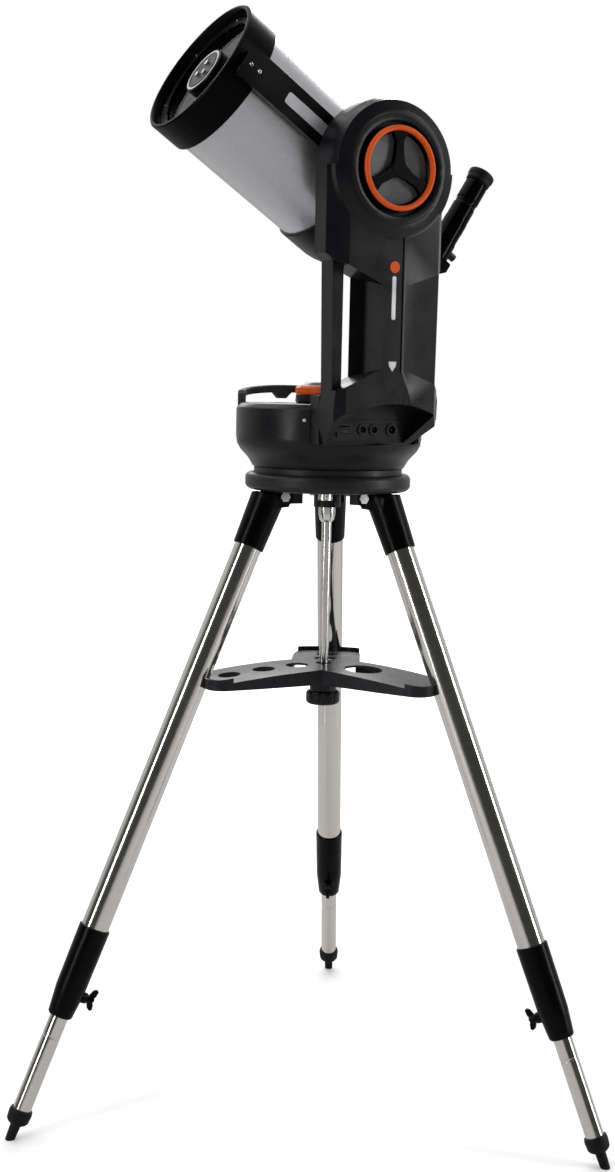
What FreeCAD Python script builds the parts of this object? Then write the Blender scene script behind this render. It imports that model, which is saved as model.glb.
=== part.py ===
import FreeCAD, Part
import math
import os

os.makedirs("parts", exist_ok=True)

V = FreeCAD.Vector
X_AXIS = V(1, 0, 0)
Y_AXIS = V(0, 1, 0)
Z_AXIS = V(0, 0, 1)

# Frame: millimetres, +Z up, origin on the floor under the azimuth axis.
# The fork arm stands on the -Y side and the optical tube points towards -X.

# tripod
TRIPOD_YAW = -3.74
LEG_AZIMUTHS = [60 + TRIPOD_YAW, 180 + TRIPOD_YAW, 300 + TRIPOD_YAW]
LEG_TOP_R = 91.6
LEG_TOP_Z = 864.3
FOOT_R = 460.0
LEG_ANGLE = math.degrees(math.atan2(FOOT_R - LEG_TOP_R, LEG_TOP_Z))
LEG_LENGTH = math.hypot(FOOT_R - LEG_TOP_R, LEG_TOP_Z)
PIVOT_R = 79.0
TUBE_R = 19.05
TUBE_WALL = 1.6
LOWER_TUBE_R = 12.7
SLEEVE_TOP = LEG_LENGTH - 304.4
SLEEVE_BOTTOM = LEG_LENGTH - 177.0
BRACKET_BOTTOM = 76.5
MARK_AT = LEG_LENGTH - 148.0
KNOB_AT = LEG_LENGTH - 208.0
HEAD_R = 116.0
HEAD_BOTTOM = 872.0
HEAD_TOP = 896.0
HEAD_SKIN = 7.0
LUG_THICK = 22.0
ROD_R = 7.0
ROD_THREAD_R = 4.76
TRAY_TOP = 624.5
TRAY_BOTTOM = 602.5
TRAY_HUB_BOTTOM = 586.0
TRAY_DOME_R = 1311.0
TRAY_SKIN = 3.2
TRAY_LOBE_HALF = 49.0
TRAY_TIP = 191.0
SMALL_HOLES = [(42.5, 16.1), (94.5, 16.1), (147.0, 16.1)]
LARGE_HOLE = [(67.0, 27.0)]
TRAY_HOLES = [SMALL_HOLES, SMALL_HOLES, LARGE_HOLE]

# mount base
PLATE_TOP = 903.5
BASE_BOTTOM = 904.5
BASE_R = 130.0
DECK_Z = 992.0
FOOT_FLOOR_Z = 940.0
HANDLE_R = 123.0
HANDLE_HALF = 109.0
KNOB_SPLIT = 1004.2

# fork arm
ALT_X = -8.0
ALT_Z = 1295.35
ARM_IN = -118.0
ARM_OUT = -164.0
DRUM_R = 90.0
DRUM_FACE = -171.0
KNOB_R = 55.0
CHANNEL_DEPTH = 1.5
SWITCH_TILT = 7.0

# optical tube, along its own axis from the altitude axis
ALTITUDE = 32.9
TUBE_OUT_R = 92.0
CELL_R = 98.1
CELL_BACK = 194.3
CELL_FRONT = 241.1
REAR_FRONT = 6.0
REAR_BACK = -104.0
MIRROR_BACK = -58.0
FOCUS_X = -58.0
DIAG_S = -200.0
EYE_TOP = 166.0
FINDER_TURN = 64.0


def cyl(r, z0, z1, x=0.0, y=0.0):
    return Part.makeCylinder(r, z1 - z0, V(x, y, z0))


def ring(r_out, r_in, z0, z1):
    return cyl(r_out, z0, z1).cut(cyl(r_in, z0 - 1, z1 + 1))


def box(x0, x1, y0, y1, z0, z1):
    return Part.makeBox(x1 - x0, y1 - y0, z1 - z0, V(x0, y0, z0))


def revolve(points):
    wire = Part.makePolygon([V(r, 0, z) for r, z in points + points[:1]])
    return Part.Face(wire).revolve(V(0, 0, 0), Z_AXIS, 360)


def prism_xy(points, z0, z1):
    wire = Part.makePolygon([V(x, y, z0) for x, y in points + points[:1]])
    return Part.Face(wire).extrude(V(0, 0, z1 - z0))


def prism_xz(points, y0, y1):
    wire = Part.makePolygon([V(x, y0, z) for x, z in points + points[:1]])
    return Part.Face(wire).extrude(V(0, y1 - y0, 0))


def fuse(shapes):
    result = shapes[0]
    for shape in shapes[1:]:
        result = result.fuse(shape)
    return result.removeSplitter()


def cut_all(shape, cutters):
    for cutter in cutters:
        shape = shape.cut(cutter)
    return shape


def turned(shape, angle, axis=Z_AXIS, centre=V(0, 0, 0)):
    copy = shape.copy()
    copy.rotate(centre, axis, angle)
    return copy


def moved(shape, x, y, z):
    copy = shape.copy()
    copy.translate(V(x, y, z))
    return copy


def along_y(shape, y):
    """Lay a shape built along +Z so that its axis points to -Y, with its zero at y."""
    return moved(turned(shape, 90, X_AXIS), 0, y, 0)


def at_altitude(shape, y):
    """Put a shape built along +Z on the altitude axis, pointing to -Y, with its zero at y."""
    return moved(along_y(shape, y), ALT_X, 0, ALT_Z)


def fillet_edges(shape, radius, keep):
    edges = [edge for edge in shape.Edges if keep(edge)]
    if not edges:
        return shape
    return shape.makeFillet(radius, edges)


def circle_edges(z, r):
    def keep(edge):
        curve = edge.Curve
        if not isinstance(curve, Part.Circle):
            return False
        return abs(curve.Center.z - z) < 0.01 and abs(curve.Radius - r) < 0.01

    return keep


def write(name, shape):
    shape.exportStep("parts/" + name + ".step")


# ---------------------------------------------------------------- tripod

def in_leg(shape):
    """Take a shape built along -Z from the top of the leg line into the plane of a leg."""
    tilted = turned(shape, -LEG_ANGLE, Y_AXIS)
    return moved(tilted, LEG_TOP_R, 0, LEG_TOP_Z)


def upper_tube():
    tube = ring(TUBE_R, TUBE_R - TUBE_WALL, -690.0, -22.0)
    return in_leg(tube)


def leg_bracket():
    """Socket over the top of the tube, with two ears around the pivot lug."""
    socket = Part.makeCone(21.6, 24.0, BRACKET_BOTTOM + 2.0, V(0, 0, -BRACKET_BOTTOM))
    socket = fillet_edges(socket, 1.5, circle_edges(-BRACKET_BOTTOM, 21.6))
    socket = socket.cut(cyl(TUBE_R, -BRACKET_BOTTOM - 1, -21.9))
    body = in_leg(socket)
    ears = Part.makeCylinder(15.0, 44.0, V(PIVOT_R, 22.0, LEG_TOP_Z), V(0, -1, 0))
    outline = [(70, 850), (79, 849.3), (104, 846), (106, 866), (94, 869.5), (70, 869.5)]
    cheek = prism_xz(outline, -22.0, 22.0)
    body = body.fuse(ears).fuse(cheek)
    slot_half = LUG_THICK / 2 + 0.3
    slot = prism_xz([(40, 849), (72, 846.5), (100, 846.5), (101.5, 900), (40, 900)], -slot_half, slot_half)
    slot = slot.fuse(Part.makeCylinder(18.0, 2 * slot_half, V(PIVOT_R, slot_half, LEG_TOP_Z), V(0, -1, 0)))
    body = body.cut(slot)
    body = body.cut(box(0, 200, -60, 60, HEAD_BOTTOM - 2.2, 950))
    bore = Part.makeCylinder(4.1, 60, V(PIVOT_R, 30, LEG_TOP_Z), V(0, -1, 0))
    seats = [Part.makeCylinder(9.2, 20, V(PIVOT_R, y, LEG_TOP_Z), V(0, -1, 0)) for y in (42.0, -22.0)]
    return cut_all(body, [bore] + seats).removeSplitter()


def hinge_bolt():
    """Bolt through one lug, with a hexagon head and a nut."""
    bolt = Part.makeCylinder(4.0, 60.0, V(PIVOT_R, 30.0, LEG_TOP_Z), V(0, -1, 0))
    for y, h in ((-29.3, 7.0), (22.3, 7.0)):
        wire = Part.makePolygon([
            V(PIVOT_R + 7.5 * math.cos(math.radians(a)), y, LEG_TOP_Z + 7.5 * math.sin(math.radians(a)))
            for a in range(0, 361, 60)
        ])
        bolt = bolt.fuse(Part.Face(wire).extrude(V(0, h, 0)))
    return bolt


def leg_sleeve():
    """Clamp housing on the end of the upper tube, tapering to hug the lower tube."""
    mid = SLEEVE_BOTTOM - 38.0
    shape = revolve([
        (0, -SLEEVE_BOTTOM), (15.6, -SLEEVE_BOTTOM), (17.2, -SLEEVE_BOTTOM + 2.0),
        (20.6, -mid), (21.6, -SLEEVE_TOP - 1.2), (20.6, -SLEEVE_TOP), (0, -SLEEVE_TOP),
    ])
    boss = Part.makeCylinder(7.5, 27.0, V(0, 0, -KNOB_AT), V(-1, 0, 0))
    shape = shape.fuse(boss)
    shape = shape.cut(cyl(TUBE_R, -690.0, -SLEEVE_TOP + 1))
    shape = shape.cut(cyl(LOWER_TUBE_R + 0.08, -SLEEVE_BOTTOM - 1, -680.0))
    shape = shape.cut(Part.makeCylinder(3.05, 40.0, V(0, 0, -KNOB_AT), V(-1, 0, 0)))
    return in_leg(shape.removeSplitter())


def leg_knob():
    """Wing screw that bears on the lower tube."""
    shank = Part.makeCylinder(3.0, 26.0, V(-13.0, 0, 0), V(-1, 0, 0))
    hub = Part.makeCone(5.0, 6.5, 9.0, V(-27.4, 0, 0), V(-1, 0, 0))
    wings = None
    for side in (-1, 1):
        outline = [(-30.0, 0.0), (-30.5, side * 5.5), (-34.5, side * 13.0), (-38.5, side * 15.0),
                   (-41.5, side * 13.0), (-40.5, side * 7.0), (-37.0, side * 2.0), (-36.4, 0.0)]
        wing = prism_xz(outline, -2.9, 2.9)
        wings = wing if wings is None else wings.fuse(wing)
    wings = fillet_edges(wings, 1.6, lambda e: abs(e.tangentAt(e.FirstParameter).y) < 0.01 and
                         abs(abs(e.CenterOfMass.y) - 2.9) < 0.01 and abs(e.CenterOfMass.z) > 8.0)
    knob = shank.fuse(hub).fuse(wings).removeSplitter()
    return in_leg(moved(knob, 0, 0, -KNOB_AT))


def lower_tube():
    """Telescoping tube with a height mark and a guide bush at its hidden upper end."""
    tube = ring(LOWER_TUBE_R, LOWER_TUBE_R - 1.4, -905.0, -230.0)
    groove = ring(LOWER_TUBE_R + 1, LOWER_TUBE_R - 0.35, -MARK_AT - 1.6, -MARK_AT + 1.6)
    bush = ring(TUBE_R - TUBE_WALL - 0.08, LOWER_TUBE_R - 0.01, -262.0, -232.0)
    return in_leg(tube.cut(groove).fuse(bush).removeSplitter())


def foot():
    """Rubber cap over the end of the lower tube with a worn flat under its tip."""
    end = -LEG_LENGTH
    shape = revolve([
        (0, end - 6.0), (3.5, end - 5.4), (6.2, end - 1.5), (6.6, end + 4.0), (7.2, end + 20.0),
        (13.0, end + 24.0), (15.2, end + 27.0), (16.2, end + 38.0), (15.2, end + 43.0), (0, end + 43.0),
    ])
    shape = shape.cut(cyl(LOWER_TUBE_R, -905.0, end + 60.0))
    shape = in_leg(shape)
    return shape.cut(box(0, 900, -100, 100, -50, 0)).removeSplitter()


def tripod_head():
    """Ribbed casting, hollow below, with three pivot lugs and bosses for the mounting screws."""
    disc = cyl(HEAD_R, HEAD_BOTTOM, HEAD_TOP)
    disc = fillet_edges(disc, 8.0, circle_edges(HEAD_TOP, HEAD_R))
    disc = fillet_edges(disc, 9.0, circle_edges(HEAD_BOTTOM, HEAD_R))
    pocket = ring(HEAD_R - 13.0, 19.0, HEAD_BOTTOM - 1, HEAD_TOP - HEAD_SKIN)
    solid = [box(0, HEAD_R - 10.0, -LUG_THICK / 2, LUG_THICK / 2, HEAD_BOTTOM, HEAD_TOP - 1)]
    solid.append(cyl(13.0, HEAD_BOTTOM, HEAD_TOP - 1, -58.0, 0))
    solid.append(box(-HEAD_R + 10.0, 0, -2.0, 2.0, HEAD_BOTTOM + 4.0, HEAD_TOP - 1))
    for azimuth in LEG_AZIMUTHS:
        pocket = cut_all(pocket, [turned(shape, azimuth) for shape in solid])
    disc = disc.cut(pocket).fuse(cyl(19.0, 848.0, HEAD_BOTTOM + 1))
    lug = prism_xz([(44, 853.5), (79, 853.5), (79, 875), (44, 875)], -LUG_THICK / 2, LUG_THICK / 2)
    lug = lug.fuse(Part.makeCylinder(10.8, LUG_THICK, V(PIVOT_R, LUG_THICK / 2, LEG_TOP_Z), V(0, -1, 0)))
    for azimuth in LEG_AZIMUTHS:
        disc = disc.fuse(turned(lug, azimuth))
    for azimuth in LEG_AZIMUTHS:
        hole = Part.makeCylinder(4.0, 60, V(PIVOT_R, 30, LEG_TOP_Z), V(0, -1, 0))
        disc = disc.cut(turned(hole, azimuth))
        disc = disc.cut(turned(cyl(4.1, 860, 900, 58.0, 0), azimuth + 60))
    disc = disc.cut(cyl(8.0, 840.0, 885.0))
    return disc.removeSplitter()


def centre_rod():
    """Spreader rod: collar under the head, plain shank, shoulder and threaded lower end."""
    rod = revolve([
        (0, 533.0), (ROD_THREAD_R - 0.8, 533.0), (ROD_THREAD_R, 534.5), (ROD_THREAD_R, 622.0),
        (ROD_R - 0.7, 622.0), (ROD_R - 0.7, 645.0), (ROD_R, 646.5), (ROD_R, 826.0), (10.5, 830.0),
        (12.0, 838.0), (12.0, 847.7), (7.9, 847.7), (7.9, 880.0), (0, 880.0),
    ])
    return rod


def mounting_bolts():
    """Three captive screws that hold the mount base on the head."""
    bolt = cyl(4.0, 871.9, 899.0).fuse(cyl(10.0, 861.0, 871.9))
    for k in range(12):
        bolt = bolt.cut(turned(cyl(1.1, 860.0, 873.0, 10.3, 0), 30 * k))
    return [turned(moved(bolt, 58.0, 0, 0), a + 60) for a in LEG_AZIMUTHS]


def lobe_outline(inset, z0, z1):
    """One lobe of the tray with a blunt rounded end; inset moves its outline inwards."""
    half = TRAY_LOBE_HALF - inset
    tip = TRAY_TIP - inset
    outline = [(0, -half * 0.95), (65, -half), (120, -half), (tip, -half * 0.93),
               (tip, half * 0.93), (120, half), (65, half), (0, half * 0.95)]
    lobe = prism_xy(outline, z0, z1)

    def end_corner(edge):
        middle = edge.CenterOfMass
        upright = abs(edge.tangentAt(edge.FirstParameter).z) > 0.9
        return upright and abs(middle.x - tip) < 0.1 and abs(abs(middle.y) - half * 0.93) < 0.1

    return fillet_edges(lobe, 24.0 - inset, end_corner)


def three_lobes(inset, z0, z1):
    return fuse([turned(lobe_outline(inset, z0, z1), azimuth) for azimuth in LEG_AZIMUTHS])


def tray_dome(offset):
    """Ball whose cap is the top of the tray, moved out by offset."""
    return Part.makeSphere(TRAY_DOME_R + offset, V(0, 0, TRAY_TOP - TRAY_DOME_R))


def tray():
    """Domed three-lobed accessory tray, hollow below, with eyepiece holes and lips that meet the legs."""
    legs = [turned(in_leg(cyl(TUBE_R + 0.45, -500, -100)), azimuth) for azimuth in LEG_AZIMUTHS]
    leg_walls = [turned(in_leg(cyl(TUBE_R + 3.5, -500, -100)), azimuth) for azimuth in LEG_AZIMUTHS]
    shape = three_lobes(0, TRAY_BOTTOM, TRAY_TOP + 5).common(tray_dome(0))
    hollow = three_lobes(2.5, TRAY_BOTTOM - 5, TRAY_TOP + 5).common(tray_dome(-TRAY_SKIN))
    shape = shape.cut(cut_all(hollow, leg_walls))
    shape = shape.fuse(cyl(19.0, TRAY_HUB_BOTTOM, TRAY_TOP - 0.5))
    lip = lobe_outline(0, TRAY_TOP - 18, TRAY_TOP + 5).cut(lobe_outline(3.5, TRAY_TOP - 20, TRAY_TOP + 9))
    lip = lip.common(box(TRAY_TIP - 30, 300, -60, 60, 0, 900)).common(tray_dome(6.5))
    for azimuth in LEG_AZIMUTHS:
        shape = shape.fuse(turned(lip, azimuth))
    shape = cut_all(shape, legs)
    for azimuth, sizes in zip(LEG_AZIMUTHS, TRAY_HOLES):
        for rho, r in sizes:
            drill = moved(cyl(r, TRAY_DOME_R - 12, TRAY_DOME_R + 12), 0, 0, TRAY_TOP - TRAY_DOME_R)
            lean = math.degrees(math.asin(rho / TRAY_DOME_R))
            drill = turned(drill, lean, Y_AXIS, V(0, 0, TRAY_TOP - TRAY_DOME_R))
            shape = shape.cut(turned(drill, azimuth))
    shape = shape.cut(cyl(ROD_THREAD_R + 0.3, 500, 700))
    return shape.cut(cyl(11.0, 621.7, 650)).removeSplitter()


def tray_knob():
    knob = cyl(24.0, 566.0, 584.5)
    knob = fillet_edges(knob, 5.0, circle_edges(566.0, 24.0))
    knob = fillet_edges(knob, 4.0, circle_edges(584.5, 24.0))
    knob = knob.fuse(cyl(11.0, 584.0, 585.7))
    for k in range(9):
        knob = knob.cut(turned(cyl(4.0, 560, 590, 26.6, 0), 40 * k))
    return knob.cut(cyl(ROD_THREAD_R + 0.05, 550, 600)).removeSplitter()


# ---------------------------------------------------------------- mount base

def base_plate():
    """Fixed plate on the tripod head with the azimuth spindle."""
    plate = cyl(104.0, HEAD_TOP, PLATE_TOP)
    spindle = ring(16.0, 9.0, HEAD_TOP, 962.0)
    plate = plate.fuse(spindle)
    for azimuth in LEG_AZIMUTHS:
        plate = plate.cut(turned(cyl(4.0, 890, 899.0, 58.0, 0), azimuth + 60))
    return plate.removeSplitter()


def toothed_disc(r_root, r_tip, teeth, z0, z1):
    points = []
    for k in range(teeth):
        a = 2 * math.pi * k / teeth
        step = 2 * math.pi / teeth
        for frac, r in ((0.0, r_root), (0.25, r_root), (0.4, r_tip), (0.85, r_tip)):
            points.append((r * math.cos(a + frac * step), r * math.sin(a + frac * step)))
    return prism_xy(points, z0, z1)


def azimuth_gear():
    """Worm wheel clamped to the fixed spindle."""
    gear = toothed_disc(56.0, 58.0, 90, 926.0, 935.0)
    gear = gear.fuse(cyl(24.0, 920.0, 945.0))
    gear = gear.cut(cyl(16.0, 900, 1000))
    for k in range(6):
        gear = gear.cut(turned(cyl(11.0, 900, 1000, 39.0, 0), 60 * k))
    return gear


def arm_foot_space(grow):
    """Space that the foot of the fork arm takes out of the base housing."""
    top = [(-87 - grow, -95 + grow), (-87 - grow, -200), (86 + grow, -200), (86 + grow, -95 + grow)]
    return prism_xy(top, FOOT_FLOOR_Z - grow, DECK_Z + 60)


def base_housing():
    profile = [(24.0, BASE_BOTTOM), (106.0, BASE_BOTTOM), (112.5, 915.5), (124.0, 928.0), (128.5, 936.0),
               (BASE_R, 946.0), (BASE_R, 980.8), (127.0, 980.8), (127.0, 946.0), (125.0, 938.0),
               (120.5, 930.5), (109.5, 918.0), (104.0, 909.0), (24.0, 909.0)]
    shell = revolve(profile)
    bearing = ring(24.5, 16.05, BASE_BOTTOM, 916.0)
    shell = shell.fuse(bearing)
    shell = shell.cut(arm_foot_space(0.3))
    ledge = box(-87, 60, -128, -94.7, FOOT_FLOOR_Z - 4.3, FOOT_FLOOR_Z - 0.3)
    ledge = ledge.common(cyl(127.0, 900, 1000))
    return shell.fuse(ledge).removeSplitter()


def base_deck():
    deck = revolve([(0, 980.7), (BASE_R, 980.7), (BASE_R, 983.5), (128.5, 986.0),
                    (123.5, DECK_Z - 0.8), (121.0, DECK_Z), (0, DECK_Z)])
    deck = deck.cut(arm_foot_space(0.3))
    deck = deck.cut(cyl(19.3, 970, 1000))
    return deck


def base_stud():
    """Small round bright stud on the side of the housing."""
    stud = Part.makeCylinder(2.2, 1.2, V(BASE_R, 0, 971.0), X_AXIS)
    return turned(stud, 224.5)


def arch_face(half, foot, shoulder, crown):
    """Front view of an arch between two feet, with a gently curved top."""
    lines = Part.makePolygon([V(half - 4, 0, shoulder), V(half, 0, shoulder - 5), V(half, 0, foot),
                              V(-half, 0, foot), V(-half, 0, shoulder - 5), V(4 - half, 0, shoulder)])
    top = Part.Arc(V(4 - half, 0, shoulder), V(0, 0, crown), V(half - 4, 0, shoulder)).toShape()
    return Part.Face(Part.Wire(lines.Edges + [top]))


def carry_handle():
    """Arched grip that follows the rim of the deck on the side away from the arm, with a middle gusset."""
    arch = arch_face(HANDLE_HALF, DECK_Z - 10, 1009.0, 1017.0).extrude(V(0, 140, 0))
    gap = arch_face(HANDLE_HALF - 9, DECK_Z - 11, 1001.0, 1006.0).extrude(V(0, 140, 0))
    gusset = prism_xz([(-24, 1007), (7, 1007), (-3, 997.5), (-14, 997.5)], 0, 140)
    grip = ring(HANDLE_R + 5.5, HANDLE_R - 5.5, DECK_Z - 10, 1030)
    handle = grip.common(arch.cut(gap).fuse(gusset))
    handle = fillet_edges(handle, 2.5, lambda e: e.CenterOfMass.z > 1009.5 and e.Length > 100)
    return handle.cut(base_deck()).removeSplitter()


def azimuth_knob_parts():
    """Round clutch knob on the deck: black skirt and cap, and a coloured grip band."""
    low = KNOB_SPLIT
    skirt = revolve([(0, DECK_Z + 0.4), (46.0, DECK_Z + 0.4), (48.0, DECK_Z + 3.0),
                     (47.0, low), (0, low)])
    stem = cyl(16.0, 968.0, DECK_Z + 1)
    cap = revolve([(0, low), (40.0, low), (40.0, low + 13.3), (33.0, low + 17.3), (0, low + 18.3)])
    body = skirt.fuse(stem).fuse(cap)
    for k in range(3):
        dish = cyl(11.0, low + 9.3, low + 28.0, 20.5, 0)
        body = body.cut(turned(dish, 120 * k + 30))
    band = revolve([(40.0, low + 0.3), (46.5, low + 0.3), (48.0, low + 2.8),
                    (48.0, low + 9.3), (45.0, low + 12.3), (40.0, low + 13.0)])
    for k in range(36):
        band = band.cut(turned(cyl(1.0, low - 1, low + 10.3, 48.5, 0), 10 * k + 5))
    return body.removeSplitter(), band


def battery_pack():
    pack = box(-62, 62, 30, 100, 948, 976)
    return fillet_edges(pack, 5.0, lambda e: abs(e.tangentAt(e.FirstParameter).z) > 0.9)


def motor_unit(length):
    """Gearmotor with a worm on its output, built along +X from the middle of the worm."""
    worm = Part.makeCylinder(6.5, 26.0, V(-13, 0, 0), X_AXIS)
    for k in range(6):
        groove = Part.makeTorus(6.9, 1.1, V(-10.5 + 4.2 * k, 0, 0), X_AXIS)
        worm = worm.cut(groove)
    shaft = Part.makeCylinder(2.5, 50.0, V(-22, 0, 0), X_AXIS)
    gearbox = Part.makeCylinder(13.0, 20.0, V(27, 0, 0), X_AXIS)
    motor = Part.makeCylinder(11.5, length, V(47, 0, 0), X_AXIS)
    return worm.fuse(shaft).fuse(gearbox).fuse(motor).removeSplitter()


def azimuth_drive():
    return moved(motor_unit(30.0), 0, -65.6, 930.5)


# ---------------------------------------------------------------- fork arm

def arm_outline():
    """Front view of the arm: round head, straight column and spreading foot."""
    points = [(-99.0, ALT_Z), (-99.0, 1186), (-88.0, 1176), (-85.0, 1012), (-87.0, 985), (-86.5, 962),
              (-82.0, FOOT_FLOOR_Z), (50.0, FOOT_FLOOR_Z), (85.0, 975), (86.0, 1000), (80.0, 1022),
              (82.0, 1176), (84.0, ALT_Z)]
    head = Part.makeCylinder(DRUM_R + 1.5, ARM_IN - ARM_OUT, V(ALT_X, ARM_IN, ALT_Z), V(0, -1, 0))
    return prism_xz(points, ARM_OUT, ARM_IN).fuse(head).removeSplitter()


def window_cutter():
    outline = [(-120, -200), (-120, -146), (-71, -146), (-71, -100), (-44, -100), (-44, ARM_IN),
               (-21, ARM_OUT), (-21, -200)]
    plan = prism_xy(outline, 990, 1200)
    front = prism_xz([(-120, 995), (-21, 1040), (-21, 1148), (-120, 1191)], -250, -50)
    return plan.common(front)


def facet_cutter():
    plan = prism_xy([(14, ARM_OUT), (76, -142), (120, -130), (120, -220), (14, -220)], 990, 1200)
    front = prism_xz([(14, 1040), (120, 1000), (120, 1184), (14, 1148)], -250, -50)
    return plan.common(front)


def port_recess():
    """Arched recess over the ports in the foot of the arm."""
    left = V(-76, -250, 943)
    right = V(40, -250, 943)
    shoulder_l = V(-72, -250, 974)
    shoulder_r = V(66, -250, 981)
    crown = Part.Arc(shoulder_l, V(2, -250, 995), shoulder_r).toShape()
    side_l = Part.makeLine(left, shoulder_l)
    side_r = Part.makeLine(shoulder_r, right)
    wire = Part.Wire([side_l, crown, side_r, Part.makeLine(right, left)])
    return Part.Face(wire).extrude(V(0, 124, 0))


def foot_front_cut():
    """Slope that brings the foot of the arm in to the round of the base."""
    low = FOOT_FLOOR_Z - 1
    side = [(-126.0, low), (ARM_OUT - 2, 984), (-300, 984), (-300, low)]
    wire = Part.makePolygon([V(-200, y, z) for y, z in side + side[:1]])
    return Part.Face(wire).extrude(V(400, 0, 0))


def arm_solid():
    arm = arm_outline()
    corner_l = [(-130, ARM_OUT + 24), (-98, ARM_OUT + 18), (-74, ARM_OUT), (-74, -200), (-130, -200)]
    corner_r = [(64, ARM_OUT), (84, ARM_OUT + 24), (130, ARM_OUT + 40), (130, -200), (64, -200)]
    wedge_l = prism_xy(corner_l, 900, ALT_Z)
    wedge_r = prism_xy(corner_r, 900, ALT_Z)
    arm = cut_all(arm, [wedge_l, wedge_r, foot_front_cut()])
    deep_foot = box(-86.5, 85.0, ARM_IN, -95.3, FOOT_FLOOR_Z, 1004)
    below = [(50, FOOT_FLOOR_Z), (85, 975), (120, 975), (120, FOOT_FLOOR_Z - 5), (50, FOOT_FLOOR_Z - 5)]
    chamfer = prism_xz(below, -200, -50)
    arm = arm.fuse(deep_foot.cut(chamfer))
    drum = Part.makeCone(DRUM_R, 73.5, ARM_OUT - DRUM_FACE, V(ALT_X, ARM_OUT, ALT_Z), V(0, -1, 0))
    neck = Part.makeCylinder(DRUM_R, 10, V(ALT_X, ARM_OUT + 10, ALT_Z), V(0, -1, 0))
    return arm.fuse(neck).fuse(drum).removeSplitter()


def arm_shell():
    """Outer casting of the fork arm, open towards the tube and closed there by a cover."""
    arm = arm_solid()
    shoulder = Part.makeCylinder(120, 30, V(ALT_X, ARM_OUT + 14, ALT_Z), V(0, -1, 0))
    bevel = Part.makeCone(DRUM_R + 1.5, DRUM_R - 8.0, 30.0, V(ALT_X, ARM_OUT + 14, ALT_Z), V(0, -1, 0))
    upper = box(-200, 200, ARM_OUT - 40, ARM_OUT + 14, ALT_Z, 1500)
    arm = arm.cut(shoulder.cut(bevel).common(upper))
    arm = cut_all(arm, [window_cutter(), facet_cutter(), port_recess()])
    room_head = Part.makeCylinder(84.0, 40.0, V(ALT_X, -121.0, ALT_Z), V(0, -1, 0))
    room_column = prism_xy([(-38, -121), (-19, -158), (12, -158), (72, -138), (76, -121)], 1000, 1240)
    neck = [(-78, -121), (-78, -146), (-68, -158), (58, -158), (74, -142), (76, -121)]
    room_neck = prism_xy(neck, 1188, ALT_Z)
    room_foot = box(-83.0, 48.0, -121.5, -99.0, 946.0, 998.0)
    cover_seat = box(-200, 200, -121.0, ARM_IN + 0.5, 1004.2, 1500)
    arm = cut_all(arm, [room_head, room_column, room_neck, room_foot, cover_seat])
    panel_seat = box(-73, 40, -127, -121, 945.5, 973.5)
    arm = arm.cut(panel_seat)
    knob_well = Part.makeCylinder(60.5, 30, V(ALT_X, -163.3, ALT_Z), V(0, -1, 0))
    shaft_hole = Part.makeCylinder(12.3, 30, V(ALT_X, -150.0, ALT_Z), V(0, -1, 0))
    channel = box(-17, 10, ARM_OUT - 1, ARM_OUT + CHANNEL_DEPTH, 1036, 1212)
    arm = cut_all(arm, [knob_well, shaft_hole, channel])
    return arm.fuse(drum_bezel()).removeSplitter()


def arm_cover():
    """Flat inner skin of the arm, with the bearing hole for the altitude shaft."""
    cover = arm_outline().common(box(-200, 200, -120.7, ARM_IN, 1004.5, 1500))
    cover = cover.cut(window_cutter())
    bore = Part.makeCylinder(22.05, 30, V(ALT_X, -100, ALT_Z), V(0, -1, 0))
    cover = cover.cut(bore)
    ring_wall = Part.makeCylinder(30, 4.0, V(ALT_X, -120.7, ALT_Z), V(0, -1, 0))
    cover = cover.fuse(ring_wall.cut(bore))
    return cover.removeSplitter()


def trim_emblems():
    """Plain inlays: a round badge, a bar and a shield in the channel of the column, and a base stud."""
    floor = ARM_OUT + CHANNEL_DEPTH
    badge = Part.makeCylinder(7.5, 0.9, V(-3.5, floor, 1171.5), V(0, -1, 0))
    bar = box(-7.0, -1.0, floor - 0.7, floor, 1104, 1160)
    bar = fillet_edges(bar, 2.5, lambda e: abs(e.tangentAt(e.FirstParameter).y) > 0.9)
    outline = [(-9.5, 1050), (2.5, 1050), (1.5, 1044), (-3.5, 1037), (-8.5, 1044)]
    shield = prism_xz(outline, floor - 0.7, floor)
    return badge, Part.makeCompound([bar, shield, base_stud()])


def drum_bezel():
    """Stepped ring round the altitude knob."""
    bezel = revolve([(60.5, -0.5), (71.0, -0.5), (71.0, 0.6), (69.5, 2.0), (64.0, 2.6), (60.5, 1.0)])
    return at_altitude(bezel, DRUM_FACE)


def port_panel():
    panel = box(-72.7, 39.7, -126.5, -122.0, 945.8, 973.2)
    for x, r in ((-24.0, 6.1), (-6.0, 6.1), (22.0, 7.1)):
        panel = panel.cut(Part.makeCylinder(r, 10, V(x, -121, 960), V(0, -1, 0)))
    panel = panel.cut(box(-61.5, -44.5, -130, -121, 953.5, 966.5))
    return panel


def port_jacks():
    """Round sockets behind the panel: two accessory ports and the power inlet."""
    jacks = []
    for x, r in ((-24.0, 6.0), (-6.0, 6.0), (22.0, 7.0)):
        body = Part.makeCylinder(r, 17.0, V(x, -110.5, 960), V(0, -1, 0))
        body = body.fuse(Part.makeCylinder(r + 1.8, 1.5, V(x, -126.7, 960), V(0, -1, 0)))
        body = body.cut(Part.makeCylinder(r - 1.8, 12.0, V(x, -117.5, 960), V(0, -1, 0)))
        body = body.fuse(Part.makeCylinder(1.2, 9.0, V(x, -117, 960), V(0, -1, 0)))
        jacks.append(body.removeSplitter())
    return jacks


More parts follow.
